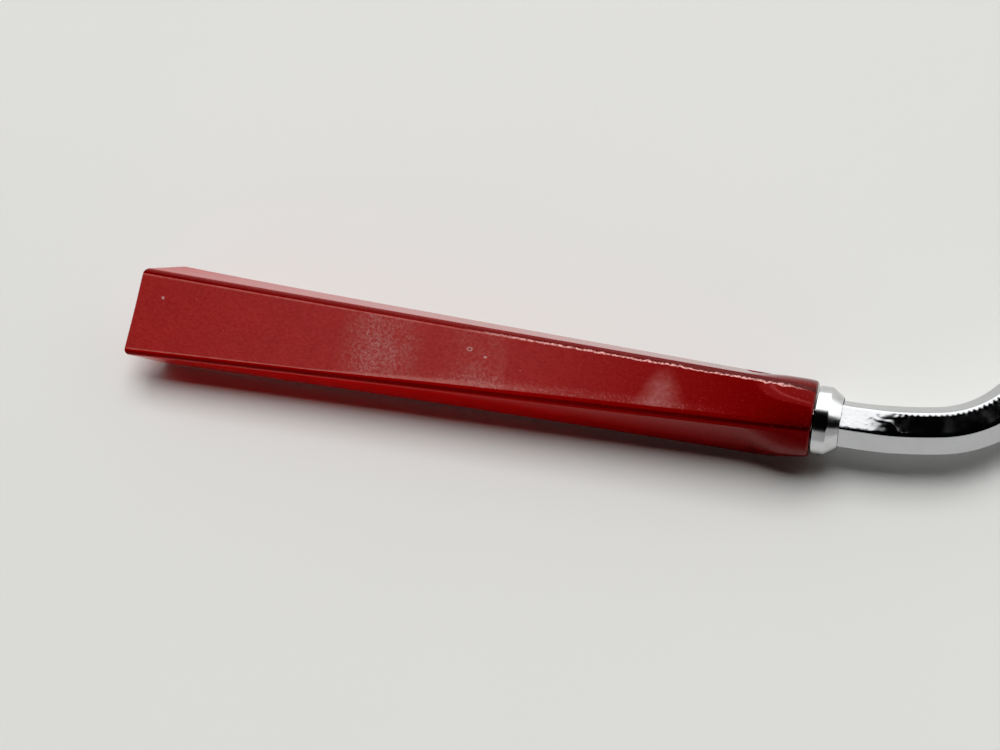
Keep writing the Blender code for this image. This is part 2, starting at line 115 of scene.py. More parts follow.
# places that the frame gives
HANDLE_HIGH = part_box("handle")[1]
FERRULE_LOW, FERRULE_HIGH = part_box("ferrule")
BLADE_LOW, BLADE_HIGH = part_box("blade")
BUTT_X = HANDLE_HIGH[0] - HANDLE_LENGTH
FERRULE_RADIUS = (FERRULE_HIGH[2] - FERRULE_LOW[2]) / 2
FERRULE_LENGTH = FERRULE_HIGH[0] - FERRULE_LOW[0]
AXIS_Y = (FERRULE_LOW[1] + FERRULE_HIGH[1]) / 2
AXIS_HEIGHT = (FERRULE_LOW[2] + FERRULE_HIGH[2]) / 2
BLADE_THICKNESS = BLADE_HIGH[2] - BLADE_LOW[2]
PALM_BOTTOM = BLADE_HIGH[2] + GAP
PALM_TOP = PALM_BOTTOM + PALM_THICKNESS
SHOULDER_X = FERRULE_LOW[0] + FERRULE_WEB + GAP


# ---------------------------------------------------------------- plane geometry
def mix(a, b, share):
    return a + (b - a) * share


def smooth_step(value):
    value = min(max(value, 0.0), 1.0)
    return value * value * (3 - 2 * value)


def rounded_corner(corner, direction_in, direction_out, radius, steps):
    """Arc that replaces a corner of a clockwise outline, as steps + 1 points."""
    turn = abs(direction_in.angle_signed(direction_out))
    outward = Vector((-direction_in.y, direction_in.x))
    centre = corner - direction_in * radius * math.tan(turn / 2) - outward * radius
    arc = []
    for step in range(steps + 1):
        angle = turn * step / steps
        arc.append(centre + radius * (math.cos(angle) * outward + math.sin(angle) * direction_in))
    return arc


def rounded_polygon(corners, radii, steps):
    """List of arcs, one for each corner of a clockwise outline."""
    arcs = []
    for i, corner in enumerate(corners):
        direction_in = (corner - corners[i - 1]).normalized()
        direction_out = (corners[(i + 1) % len(corners)] - corner).normalized()
        arcs.append(rounded_corner(corner, direction_in, direction_out, radii[i], steps))
    return arcs


def with_flats(arcs, flat_steps):
    """Closed outline through the arcs, with points along the flats between them."""
    outline = []
    for number, arc in enumerate(arcs):
        following = arcs[(number + 1) % len(arcs)][0]
        outline += arc
        steps = flat_steps[number]
        outline += [arc[-1].lerp(following, step / steps) for step in range(1, steps)]
    return outline


# ---------------------------------------------------------------- mesh helpers
def loft_mesh(name, rings):
    """Closed smooth skin over rings of equally many points, with a flat cap on each end ring."""
    cage = bmesh.new()
    loops = [[cage.verts.new(point) for point in ring] for ring in rings]
    count = len(loops[0])
    for loop, following in zip(loops, loops[1:]):
        for i in range(count):
            j = (i + 1) % count
            cage.faces.new((loop[i], loop[j], following[j], following[i]))
    cage.faces.new(loops[0])
    cage.faces.new(loops[-1])
    bmesh.ops.recalc_face_normals(cage, faces=cage.faces)
    mesh = bpy.data.meshes.new(name)
    cage.to_mesh(mesh)
    cage.free()
    return mesh


def turned_mesh(name, points, place, steps):
    """Skin turned about the local Z axis; points run down the outer side and close on themselves
    or start and end on the axis."""
    cage = bmesh.new()
    loops = []
    for radius, height in points:
        if radius == 0.0:
            loops.append([cage.verts.new((0.0, 0.0, height))])
            continue
        loops.append([cage.verts.new((radius * math.cos(math.tau * i / steps),
                                      radius * math.sin(math.tau * i / steps), height))
                      for i in range(steps)])
    pairs = list(zip(loops, loops[1:]))
    if points[0][0] > 0.0:
        pairs.append((loops[-1], loops[0]))
    for loop, following in pairs:
        for i in range(steps):
            j = (i + 1) % steps
            ring = [loop[i % len(loop)], loop[j % len(loop)],
                    following[j % len(following)], following[i % len(following)]]
            cage.faces.new(list(dict.fromkeys(ring)))
    bmesh.ops.recalc_face_normals(cage, faces=cage.faces)
    mesh = bpy.data.meshes.new(name)
    cage.to_mesh(mesh)
    cage.free()
    mesh.transform(place)
    return mesh


def add_piece(name, mesh, material, node, sharp_angle):
    """Shown piece that stands for one CAD node; edges over sharp_angle degrees are shaded sharp."""
    piece = bpy.data.objects.new(name, mesh)
    bpy.context.scene.collection.objects.link(piece)
    mesh.materials.clear()
    mesh.materials.append(material)
    mesh.shade_smooth()
    mesh.set_sharp_from_angle(angle=math.radians(sharp_angle))
    # broad faces stay flat in the shading, whatever the rounding beside them
    weighting = piece.modifiers.new("Face_weighting", "WEIGHTED_NORMAL")
    weighting.keep_sharp = True
    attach(piece, "root")
    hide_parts(node)
    return piece


def set_attribute(mesh, name, values):
    attribute = mesh.attributes.new(name, "FLOAT", "POINT")
    attribute.data.foreach_set("value", values)


def cut_mesh(mesh, cutter_mesh):
    """The mesh with the cutter taken away."""
    body = bpy.data.objects.new("cut_body", mesh)
    cutter = bpy.data.objects.new("cut_tool", cutter_mesh)
    for thing in (body, cutter):
        bpy.context.scene.collection.objects.link(thing)
    boolean = body.modifiers.new("Cut", "BOOLEAN")
    boolean.operation = "DIFFERENCE"
    boolean.solver = "EXACT"
    boolean.object = cutter
    depsgraph = bpy.context.evaluated_depsgraph_get()
    result = bpy.data.meshes.new_from_object(body.evaluated_get(depsgraph))
    for thing in (body, cutter):
        bpy.data.objects.remove(thing)
    return result


# ---------------------------------------------------------------- shader helpers
class Shader:
    """Short way to wire a Principled material."""

    def __init__(self, name, **constants):
        self.material = bpy.data.materials.new(name)
        self.material.use_nodes = True
        self.tree = self.material.node_tree
        self.surface = self.tree.nodes["Principled BSDF"]
        for socket, value in constants.items():
            self.surface.inputs[socket.replace("_", " ")].default_value = value
        self.place = self.tree.nodes.new("ShaderNodeTexCoord").outputs["Object"]

    def node(self, kind, settings=None, **links):
        made = self.tree.nodes.new(kind)
        for key, value in (settings or {}).items():
            setattr(made, key, value)
        for socket, value in links.items():
            key = int(socket[1:]) if socket[1:].isdigit() else socket.replace("_", " ")
            self.join(made.inputs[key], value)
        return made

    def join(self, socket, value):
        if isinstance(value, bpy.types.NodeSocket):
            self.tree.links.new(value, socket)
        else:
            socket.default_value = value

    def stretched(self, scale, turn=(0.0, 0.0, 0.0)):
        """Object coordinates scaled by three factors."""
        return self.node("ShaderNodeMapping", Vector=self.place, Scale=scale,
                         Rotation=turn).outputs[0]

    def noise(self, scale, detail=3.0, rough=0.5, place=None, distort=0.0):
        return self.node("ShaderNodeTexNoise", Vector=place or self.place, Scale=scale,
                         Detail=detail, Roughness=rough, Distortion=distort).outputs[0]

    def cells(self, scale, place=None):
        return self.node("ShaderNodeTexVoronoi", Vector=place or self.place,
                         Scale=scale).outputs["Distance"]

    def spread(self, value, low, high, to_low=0.0, to_high=1.0):
        """value from low..high to to_low..to_high, clamped."""
        return self.node("ShaderNodeMapRange", {"clamp": True}, Value=value, From_Min=low,
                         From_Max=high, To_Min=to_low, To_Max=to_high).outputs[0]

    def band(self, value, start, full, fade, end):
        """1 between full and fade, falling to 0 at start and end."""
        return self.times(self.spread(value, start, full), self.spread(value, fade, end, 1.0, 0.0))

    def math(self, operation, first, second=0.0):
        return self.node("ShaderNodeMath", {"operation": operation, "use_clamp": False},
                         _0=first, _1=second).outputs[0]

    def times(self, first, second):
        return self.math("MULTIPLY", first, second)

    def plus(self, first, second):
        return self.math("ADD", first, second)

    def attribute(self, name):
        return self.node("ShaderNodeAttribute", {"attribute_name": name}).outputs["Fac"]

    def colours(self, share, first, second):
        made = self.node("ShaderNodeMix", {"data_type": "RGBA"})
        self.join(made.inputs[0], share)
        self.join(made.inputs[6], first)
        self.join(made.inputs[7], second)
        return made.outputs[2]

    def bump(self, height, strength, distance, under=None):
        made = self.node("ShaderNodeBump", Height=height, Strength=strength, Distance=distance)
        if under:
            self.join(made.inputs["Normal"], under)
        return made.outputs[0]

    def finish(self, **links):
        for socket, value in links.items():
            self.join(self.surface.inputs[socket.replace("_", " ")], value)
        return self.material


# ---------------------------------------------------------------- lacquer
# stretches of the handle, in metres from the butt, where a mark starts, is full, fades and ends
WORN_PATCH = (0.054, 0.063, 0.068, 0.077)
SECOND_PATCH = (0.080, 0.090, 0.0945, 0.0965)
DUSTY = (0.073, 0.085, 0.135, 0.150)
# span of the painted highlight along the far edge
EDGE_HIGHLIGHT_SPAN = (0.084, 0.100, 0.158, 0.164)
SMUDGE_AT = 0.1325
# places on the top flat: distance from the butt, and share of the flat's half width
RING_MARK = (0.0869, 0.36)
FLECKS = ((0.0090, 0.45), (0.0909, 0.16))
RING_RADIUS = 0.00055
HALF_FLAT = 0.0095                     # typical half width of the top flat
BUTT_RED = (0.42, 0.0080, 0.0080, 1)
MIDDLE_RED = (0.33, 0.0060, 0.0060, 1)
DARK_RED = (0.19, 0.0025, 0.0030, 1)
FRONT_RED = (0.100, 0.0006, 0.0014, 1)
BLOTCH_RED = (0.20, 0.0030, 0.0035, 1)


class Lacquer(Shader):
    """Deep glossy red; its flat is dulled with use towards the butt, and darkens towards the front."""

    def __init__(self):
        super().__init__("red_lacquer", IOR=1.42, Specular_Tint=(1.0, 0.30, 0.28, 1.0))
        self.along = self.attribute("along")
        self.across = self.attribute("across")
        self.edge = self.attribute("edge_distance")
        self.on_flat = self.spread(self.edge, -0.00015, 0.0003)
        self.on_near_half = self.spread(self.across, -0.5, -0.3, 1.0, 0.0)
        self.on_far_half = self.spread(self.across, 0.3, 0.5)
        self.cloud = self.noise(140.0, 4.0, 0.65)
        self.speckle = self.noise(1700.0, 2.0, 0.7)
        # a darker strip of painted shade, kept clear of haze, along the near edge of the flat widens
        # towards the front
        shaded_strip_width = self.spread(self.along, 0.050, 0.165, 0.0002, 0.0021)
        self.inward = self.math("DIVIDE", self.edge, shaded_strip_width)
        self.shaded_strip = self.times(self.spread(self.inward, 0.75, 1.10, 1.0, 0.0), self.on_near_half)

    def distance_from(self, along, across):
        """Distance over the flat, in metres, from one place on it."""
        x = self.plus(self.along, -along)
        y = self.times(self.plus(self.across, -across), HALF_FLAT)
        return self.math("SQRT", self.plus(self.times(x, x), self.times(y, y)))

    def worn_patches(self):
        """Two patches that the hand has dulled."""
        first = self.times(self.band(self.along, *WORN_PATCH),
                           self.spread(self.cloud, 0.30, 0.60, 0.35, 1.0))
        second = self.times(self.band(self.along, *SECOND_PATCH),
                            self.spread(self.cloud, 0.32, 0.62, 0.15, 0.9))
        second = self.times(second, self.spread(self.across, -0.9, 0.6, 1.0, 0.5))
        fibres = self.noise(900.0, 3.0, 0.6, distort=1.5)
        patches = self.times(self.plus(first, second), self.spread(fibres, 0.36, 0.60, 0.30, 1.25))
        return self.times(patches, self.spread(self.speckle, 0.38, 0.60, 0.20, 1.50))

    def smudge(self):
        """Smudge near the front, which narrows towards the far edge."""
        width = self.spread(self.across, -0.9, 0.7, 0.0072, 0.0030)
        away = self.math("ABSOLUTE", self.plus(self.along, -SMUDGE_AT))
        inside = self.spread(self.math("DIVIDE", away, width), 0.25, 1.0, 1.0, 0.0)
        smudge = self.times(inside, self.spread(self.cloud, 0.33, 0.62, 0.25, 1.0))
        return self.times(smudge, self.spread(self.across, 0.1, 0.95, 1.0, 0.0))

    def dust(self):
        """Dust caught along the flat's near edge."""
        dust = self.band(self.across, -0.98, -0.80, -0.75, -0.45)
        dust = self.times(dust, self.band(self.along, *DUSTY))
        return self.times(dust, self.spread(self.speckle, 0.50, 0.66, 0.15, 1.0))

    def haze(self):
        """Share of pale, dull wear on the flat."""
        dulled = self.times(self.spread(self.along, 0.090, 0.158, 0.24, 0.0),
                            self.spread(self.along, 0.0, 0.060, 0.80, 1.0))
        haze = self.plus(self.times(self.worn_patches(), 0.30), self.times(self.smudge(), 0.36))
        haze = self.plus(haze, self.plus(dulled, self.times(self.dust(), 0.30)))
        grain = self.noise(5200.0, 1.0, 0.5)
        haze = self.times(self.times(haze, self.on_flat), self.spread(grain, 0.2, 0.8, 0.85, 1.15))
        return self.times(haze, self.plus(1.0, self.times(self.shaded_strip, -0.95)))

    def body_colour(self):
        """The lacquer itself, with painted light on the near side, and painted shade round the corners of
        the flat.
        """
        ramp = self.node("ShaderNodeValToRGB", Fac=self.spread(self.along, 0.0, HANDLE_LENGTH))
        stops = ramp.color_ramp.elements
        stops[0].color = BUTT_RED
        stops[1].color = FRONT_RED
        for place, colour in ((0.60, MIDDLE_RED), (0.86, DARK_RED)):
            stops.new(place).color = colour
        blotches = self.spread(self.cloud, 0.35, 0.65, 0.0, 0.25)
        colour = self.colours(blotches, ramp.outputs[0], BLOTCH_RED)
        # painted light: the near side is made brighter, most of all towards the butt
        painted_near_light = self.times(self.spread(self.across, -1.14, -1.10, 1.0, 0.0),
                               self.spread(self.along, 0.060, 0.155, 1.5, 0.35))
        # painted shade: darker bands round the flat's near and far corners
        near_corner_shade = self.band(self.across, -1.11, -1.08, -1.02, -1.0)
        far_corner_shade = self.band(self.across, 1.0, 1.02, 1.11, 1.14)
        depth = self.plus(1.0, painted_near_light)
        depth = self.plus(depth, self.times(near_corner_shade, -0.45))
        depth = self.plus(depth, self.times(far_corner_shade, -0.68))
        # painted shade along the flat's near edge
        depth = self.plus(depth, self.times(self.times(self.shaded_strip, self.on_flat), -0.15))
        return self.node("ShaderNodeVectorMath", {"operation": "SCALE"}, _0=colour, Scale=depth).outputs[0]

    def edge_wear_and_highlights(self):
        """Lighter line along both edges of the flat: partly wear, partly painted highlight."""
        far_line = self.times(self.band(self.edge, -0.00012, 0.00010, 0.00025, 0.00060), self.on_far_half)
        near_line = self.times(self.band(self.inward, 0.9, 1.3, 2.2, 3.4), self.on_near_half)
        line = self.plus(far_line, near_line)
        line = self.times(line, self.spread(self.noise(700.0, 2.0), 0.3, 0.6, 0.28, 0.55))
        return self.times(line, self.spread(self.along, 0.080, 0.110, 1.0, 0.0))

    def painted_edge_highlight(self):
        """Painted highlight: a bright, crumbling line on the far edge, from the middle of the handle on."""
        reach = self.spread(self.along, 0.09, 0.16, 0.0008, 0.0026)
        sway = self.times(self.plus(self.noise(650.0, 3.0, 0.7), -0.5), reach)
        line = self.band(self.plus(self.edge, sway), -0.00040, -0.00010, 0.00012, 0.00040)
        line = self.times(line, self.times(self.on_far_half, self.band(self.along, *EDGE_HIGHLIGHT_SPAN)))
        return self.times(line, self.spread(self.speckle, 0.40, 0.58, 0.25, 1.0))

    def marks(self):
        """A pale ring mark, and two pale flecks on the flat."""
        from_ring = self.math("ABSOLUTE", self.plus(self.distance_from(*RING_MARK), -RING_RADIUS))
        marks = self.spread(from_ring, 0.00008, 0.00026, 0.28, 0.0)
        for fleck in FLECKS:
            marks = self.plus(marks, self.spread(self.distance_from(*fleck), 0.00015, 0.00050, 0.50, 0.0))
        return marks

    def relief(self, chips):
        """Orange peel, scratches and chips, and a far edge that ripples from the middle on."""
        scratches = self.noise(900.0, 2.0, 0.5, self.stretched((0.05, 1.0, 1.0), (0, 0, 0.12)))
        normal = self.bump(self.noise(260.0, 3.0, 0.5), 0.20, 0.00004)
        normal = self.bump(self.noise(1500.0, 2.0, 0.6), 0.22, 0.00002, normal)
        normal = self.bump(scratches, 0.10, 0.00001, normal)
        normal = self.bump(chips, 0.3, 0.00004, normal)
        on_far_front = self.times(self.spread(self.across, 0.0, 0.5), self.spread(self.along, 0.088, 0.105))
        rippled = self.times(self.band(self.edge, -0.0014, -0.0006, 0.0002, 0.0010), on_far_front)
        ripples = self.noise(1.0, 2.0, 0.6, self.stretched((900.0, 2600.0, 2600.0)))
        return self.bump(self.times(ripples, rippled), 0.45, 0.00006, normal)


def red_lacquer():
    shader = Lacquer()
    haze = shader.haze()
    mottling = shader.noise(1500.0, 4.0, 0.75, shader.stretched((0.7, 1.0, 1.0)))
    mottling = shader.times(shader.spread(mottling, 0.40, 0.66, 0.0, 0.28), shader.on_flat)
    flakes = shader.spread(shader.noise(2600.0, 1.0), 0.64, 0.76, 0.0, 0.30)
    chips = shader.spread(shader.cells(420.0), 0.035, 0.05, 1.0, 0.0)
    chips = shader.times(chips, shader.spread(shader.noise(260.0), 0.60, 0.66))
    # the bright far-edge line among these layers is a painted highlight, and the edge lines are partly one
    layers = [(haze, (0.55, 0.235, 0.225, 1)), (mottling, (0.150, 0.006, 0.006, 1)),
              (shader.edge_wear_and_highlights(), (0.62, 0.20, 0.18, 1)), (shader.painted_edge_highlight(), (0.98, 0.50, 0.47, 1)),
              (flakes, (0.55, 0.09, 0.08, 1)), (shader.marks(), (0.90, 0.62, 0.60, 1)),
              (shader.times(chips, 0.8), (0.65, 0.30, 0.28, 1))]
    colour = shader.body_colour()
    for share, layer_colour in layers:
        colour = shader.colours(share, colour, layer_colour)
    gloss = shader.plus(shader.spread(haze, 0.0, 0.30, 0.06, 0.42), shader.times(shader.speckle, 0.03))
    return shader.finish(Base_Color=colour, Roughness=gloss, Normal=shader.relief(chips))


# ---------------------------------------------------------------- other materials
def turned_chrome():
    """Bright chrome over fine turning marks."""
    shader = Shader("turned_chrome", Metallic=1.0)
    rings = shader.noise(1.0, 3.0, 0.6, shader.stretched((9000.0, 60.0, 60.0)))
    wide_rings = shader.noise(1.0, 2.0, 0.5, shader.stretched((1500.0, 20.0, 20.0)))
    smudge = shader.noise(400.0, 4.0, 0.6)
    colour = shader.colours(shader.spread(smudge, 0.35, 0.75, 0.0, 0.6),
                            (0.66, 0.67, 0.68, 1), (0.52, 0.52, 0.52, 1))
    gloss = shader.plus(shader.spread(rings, 0.3, 0.7, 0.10, 0.20),
                        shader.spread(smudge, 0.4, 0.8, 0.0, 0.10))
    normal = shader.bump(rings, 0.35, 0.00001)
    normal = shader.bump(wide_rings, 0.55, 0.00003, normal)
    return shader.finish(Base_Color=colour, Roughness=gloss, Normal=normal)


def bar_chrome():
    """Bright plating over a drawn bar: pitted by the ferrule, and dented where the first bend starts."""
    shader = Shader("bar_chrome", Metallic=1.0)
    travelled = shader.attribute("travelled")
    smudge = shader.noise(300.0, 4.0, 0.65)
    specks = shader.spread(shader.cells(900.0), 0.03, 0.07, 1.0, 0.0)
    specks = shader.times(specks, shader.spread(shader.noise(350.0), 0.58, 0.66))
    colour = shader.colours(shader.spread(smudge, 0.4, 0.8, 0.0, 0.5),
                            (0.55, 0.56, 0.57, 1), (0.46, 0.46, 0.47, 1))
    colour = shader.colours(shader.times(specks, 0.6), colour, (0.25, 0.24, 0.23, 1))
    gloss = shader.plus(shader.spread(smudge, 0.35, 0.8, 0.03, 0.10), shader.times(specks, 0.3))
    pitted = shader.spread(travelled, 0.0085, 0.0115, 1.0, 0.0)
    dented = shader.band(travelled, 0.0085, 0.012, 0.0155, 0.019)
    pits = shader.times(shader.noise(1300.0, 2.0, 0.6), pitted)
    dents = shader.times(shader.noise(240.0, 1.0, 0.5, distort=1.2), dented)
    normal = shader.bump(shader.noise(110.0, 2.0, 0.4), 0.10, 0.00008)
    normal = shader.bump(pits, 0.30, 0.00005, normal)
    normal = shader.bump(dents, 0.32, 0.00030, normal)
    normal = shader.bump(shader.noise(1100.0, 2.0, 0.5), 0.04, 0.00001, normal)
    return shader.finish(Base_Color=colour, Roughness=gloss, Normal=normal)


def brushed_steel(name, scratch_scale, tint):
    """Satin stainless steel, brushed along X, with stray scratches and dull marks of use."""
    shader = Shader(name, Metallic=1.0)
    finer_scale = scratch_scale * 2.7
    brush = shader.noise(1.0, 3.0, 0.6, shader.stretched((20.0, scratch_scale, scratch_scale)))
    fine = shader.noise(1.0, 2.0, 0.6, shader.stretched((90.0, finer_scale, finer_scale)))
    stray = shader.noise(1.0, 1.0, 0.5, shader.stretched((35.0, 900.0, 900.0), (0, 0, 0.9)))
    stray = shader.spread(stray, 0.70, 0.74)
    dull = shader.noise(45.0, 5.0, 0.6)
    brushed_tint = (*[value * 0.92 for value in tint], 1)
    dull_tint = (*[value * 0.72 for value in tint], 1)
    colour = shader.colours(shader.spread(brush, 0.3, 0.7), brushed_tint, (*tint, 1))
    colour = shader.colours(shader.spread(dull, 0.52, 0.75, 0.0, 0.35), colour, dull_tint)
    gloss = shader.plus(shader.spread(brush, 0.25, 0.75, 0.28, 0.40),
                        shader.spread(dull, 0.45, 0.75, 0.0, 0.14))
    gloss = shader.plus(gloss, shader.times(stray, 0.08))
    normal = shader.bump(brush, 0.13, 0.00002)
    normal = shader.bump(fine, 0.25, 0.00001, normal)
    normal = shader.bump(stray, 0.35, 0.00001, normal)
    return shader.finish(Base_Color=colour, Roughness=gloss, Normal=normal)


def turned_brass():
    """Dull turned brass."""
    shader = Shader("turned_brass", Metallic=1.0)
    rings = shader.noise(1.0, 3.0, 0.6, shader.stretched((4000.0, 40.0, 40.0)))
    dull = shader.noise(300.0, 4.0, 0.6)
    colour = shader.colours(shader.spread(dull, 0.35, 0.75),
                            (0.72, 0.50, 0.20, 1), (0.45, 0.30, 0.13, 1))
    return shader.finish(Base_Color=colour, Roughness=shader.spread(rings, 0.3, 0.7, 0.28, 0.42),
                         Normal=shader.bump(rings, 0.3, 0.00002))


def pale_table():
    """Matt white table top with faint mottling."""
    shader = Shader("pale_table", Specular_IOR_Level=0.1)
    cloud = shader.noise(6.0, 3.0, 0.5)
    specks = shader.spread(shader.cells(60.0), 0.012, 0.02, 1.0, 0.0)
    specks = shader.times(specks, shader.spread(shader.noise(25.0), 0.62, 0.7))
    colour = shader.colours(shader.spread(cloud, 0.35, 0.65),
                            (0.790, 0.790, 0.775, 1), (0.805, 0.805, 0.790, 1))
    colour = shader.colours(shader.times(specks, 0.25), colour, (0.55, 0.52, 0.48, 1))
    return shader.finish(Base_Color=colour, Roughness=shader.spread(cloud, 0.3, 0.7, 0.45, 0.55),
                         Normal=shader.bump(shader.noise(500.0, 2.0), 0.05, 0.0001))


# ---------------------------------------------------------------- handle
# steps of the section, clockwise from its far top corner: each corner, then the run after it
CORNER_STEPS, SIDE_STEPS, FLAT_STEPS = 8, 34, 28
BODY_STEPS = 190
SIDE_SHARE = 2.0                       # stands for the lower half in the "across" attribute
ROUNDING_ANGLES = range(0, 90, 10)     # degrees, at which the butt's and the front's edges have rings
RUN_STEPS = (SIDE_STEPS, FLAT_STEPS, SIDE_STEPS, FLAT_STEPS)
# how much each corner, and the start and end of its run, follow the far and the near lower edge
CORNER_EDGES = ((0, 0), (1, 0), (0, 1), (0, 0))
RUN_EDGES = (((0, 0), (0, 0)), ((1, 0), (0, 1)), ((0, 1), (0, 0)), ((0, 0), (0, 0)))
NEAR_SIDE_START = 3 * CORNER_STEPS + SIDE_STEPS + FLAT_STEPS
TOP_START = NEAR_SIDE_START + SIDE_STEPS + CORNER_STEPS
FLAT_RUNS = ((CORNER_STEPS, SIDE_STEPS), (NEAR_SIDE_START, SIDE_STEPS), (TOP_START, FLAT_STEPS))


def butt_outline():
    """Clockwise points of the butt's section: (across, up, angle on the front circle, how much it
    follows the far and the near lower edge, distance inside the top flat's edge, share of the way
    from the flat's middle to its edge)."""
    half = BUTT_THICKNESS / 2
    corners = [Vector((BUTT_HALF_TOP, half)), Vector((BUTT_HALF_BOTTOM, -half)),
               Vector((-BUTT_HALF_BOTTOM, -half)), Vector((-BUTT_HALF_TOP, half))]
    arcs = rounded_polygon(corners, [BUTT_CORNER_RADIUS] * 4, CORNER_STEPS)
    spans = [(FACET_ANGLE, CORNER_ANGLE), (math.pi - CORNER_ANGLE, math.pi - FACET_ANGLE),
             (math.pi + FACET_ANGLE, math.pi + CORNER_ANGLE),
             (2 * math.pi - CORNER_ANGLE, 2 * math.pi - FACET_ANGLE)]
    flat_half = arcs[0][0].x
    outline = []
    for number, (arc, span) in enumerate(zip(arcs, spans)):
        for step in range(CORNER_STEPS):
            outline.append([*arc[step], mix(*span, step / CORNER_STEPS), *CORNER_EDGES[number]])
        following = arcs[(number + 1) % 4][0]
        next_angle = spans[(number + 1) % 4][0]
        if next_angle < span[1]:
            next_angle += 2 * math.pi
        for step in range(RUN_STEPS[number]):
            share = step / RUN_STEPS[number]
            edges = [mix(*ends, share) for ends in zip(*RUN_EDGES[number])]
            outline.append([*arc[-1].lerp(following, share), mix(span[1], next_angle, share), *edges])
    for point in outline:
        on_top = point[1] > half - 1e-6
        outside = -math.hypot(abs(point[0]) - flat_half, half - point[1])
        point.append(flat_half - abs(point[0]) if on_top else outside)
        point.append(point[0] / flat_half if point[1] > 0 else math.copysign(SIDE_SHARE, point[0]))
    return outline


def held_share(share, slope, start, power):
    """Share of the way to the front's shape, for a lower edge, which stays out for longer."""
    kept = slope * share + start * (1 - (1 - share) ** power)
    return mix(kept, 1.0, smooth_step((share - HELD_UNTIL) / (1 - HELD_UNTIL)))


def handle_ring(outline, along_at, inset):
    """Ring of the handle; along_at(across, up) gives each point's distance from the butt."""
    turned = Matrix.Rotation(BUTT_ROLL, 2)
    shares, section = [], []
    for across, up, angle, far, near, *_ in outline:
        share = min(along_at(across, up) / HANDLE_LENGTH, 1.0)
        butt_point = turned @ Vector((across, up))
        front_point = FRONT_RADIUS * Vector((math.sin(angle), math.cos(angle)))
        change = (far * held_share(share, *FAR_HELD) + near * held_share(share, *NEAR_HELD)
                  + (1 - far - near) * share)
        section.append(butt_point.lerp(front_point, change))
        shares.append(share)
    for start, steps in FLAT_RUNS:
        for step in range(1, steps):
            place = start + step
            flat = section[start].lerp(section[(start + steps) % len(section)], step / steps)
            rounding = smooth_step((shares[place] - FLAT_UNTIL) / (1 - FLAT_UNTIL))
            section[place] = flat.lerp(section[place], rounding)
    ring = []
    for share, point in zip(shares, section):
        along = share * HANDLE_LENGTH
        shoulder = max(0.0, (along - HANDLE_LENGTH + SHOULDER_LENGTH) / SHOULDER_LENGTH)
        point -= point.normalized() * (inset + SHOULDER_DROP * shoulder ** 2)
        ring.append((BUTT_X + along, AXIS_Y + point.x, AXIS_HEIGHT + point.y))
    return ring


def handle_rings(outline):
    """Rings from the butt's end face to the front face."""
    def end_face(across, up):
        slant = BUTT_SKEW * (0.5 + across / (2 * BUTT_HALF_BOTTOM))
        return slant + BUTT_UNDERCUT * (0.5 - up / BUTT_THICKNESS)

    def station(start, share):
        front = HANDLE_LENGTH - FRONT_EDGE_RADIUS
        return lambda across, up: mix(end_face(across, up) + start, front, share)

    end_insets = (2.5 * BUTT_EDGE_RADIUS, 1.15 * BUTT_EDGE_RADIUS)
    rings = [handle_ring(outline, station(0.0, 0.0), inset) for inset in end_insets]
    for angle in ROUNDING_ANGLES:
        inset = BUTT_EDGE_RADIUS * (1 - math.sin(math.radians(angle)))
        back = BUTT_EDGE_RADIUS * (1 - math.cos(math.radians(angle)))
        rings.append(handle_ring(outline, station(back, 0.0), inset))
    for step in range(BODY_STEPS + 1):
        rings.append(handle_ring(outline, station(BUTT_EDGE_RADIUS, step / BODY_STEPS), 0.0))
    for angle in reversed(ROUNDING_ANGLES):
        inset = FRONT_EDGE_RADIUS * (1 - math.sin(math.radians(angle)))
        reach = FRONT_EDGE_RADIUS * (1 - math.cos(math.radians(angle)))
        rings.append(handle_ring(outline, lambda across, up, reach=reach: HANDLE_LENGTH - reach, inset))
    return rings


def bored(rings):
    """The rings, carried on from the front face into the blind bore."""
    mouth_radius = BORE_RADIUS + 0.0012
    for inset_x, radius in ((0.0, mouth_radius), (0.0, BORE_RADIUS), (BORE_DEPTH, BORE_RADIUS)):
        ring = []
        for _, y, z in rings[-1]:
            out = Vector((y - AXIS_Y, z - AXIS_HEIGHT)).normalized() * radius
            ring.append((HANDLE_HIGH[0] - inset_x, AXIS_Y + out.x, AXIS_HEIGHT + out.y))
        rings.append(ring)
    return rings


def add_handle():
    outline = butt_outline()
    rings = bored(handle_rings(outline))
    mesh = loft_mesh("handle_body", rings)
    set_attribute(mesh, "along", [vertex.co.x - BUTT_X for vertex in mesh.vertices])
    set_attribute(mesh, "edge_distance", [point[5] for _ in rings for point in outline])
    set_attribute(mesh, "across", [point[6] for _ in rings for point in outline])
    add_piece("handle_body", mesh, red_lacquer(), "handle", 38)


# ---------------------------------------------------------------- ferrule
def add_ferrule():
    hole = TANG_RADIUS + GAP
    points = [(FERRULE_MOUTH_RADIUS, FERRULE_LENGTH)]
    # the cone, with rings close to its ends that keep its shading flat
    points += [(mix(FERRULE_MOUTH_RADIUS, FERRULE_RADIUS, share), mix(FERRULE_LENGTH, FERRULE_LAND, share))
               for share in (0.04, 0.5, 0.93, 0.975)]
    # the straight part, down to a broken edge
    points += [(FERRULE_RADIUS, FERRULE_LAND - 0.00008), (FERRULE_RADIUS, 0.0004),
               (FERRULE_RADIUS - 0.0001, 0.0001), (FERRULE_RADIUS - 0.0003, 0.0)]
    # the web's hole and the recess for the bar
    points += [(hole, 0.0), (hole, FERRULE_WEB), (FERRULE_RECESS_RADIUS, FERRULE_WEB),
               (FERRULE_RECESS_RADIUS, FERRULE_LENGTH)]
    place = Matrix.Translation((FERRULE_LOW[0], AXIS_Y, AXIS_HEIGHT)) @ Matrix.Rotation(math.pi / 2, 4, "Y")
    mesh = turned_mesh("ferrule_collar", points, place, 128)
    add_piece("ferrule_collar", mesh, turned_chrome(), "ferrule", 25)


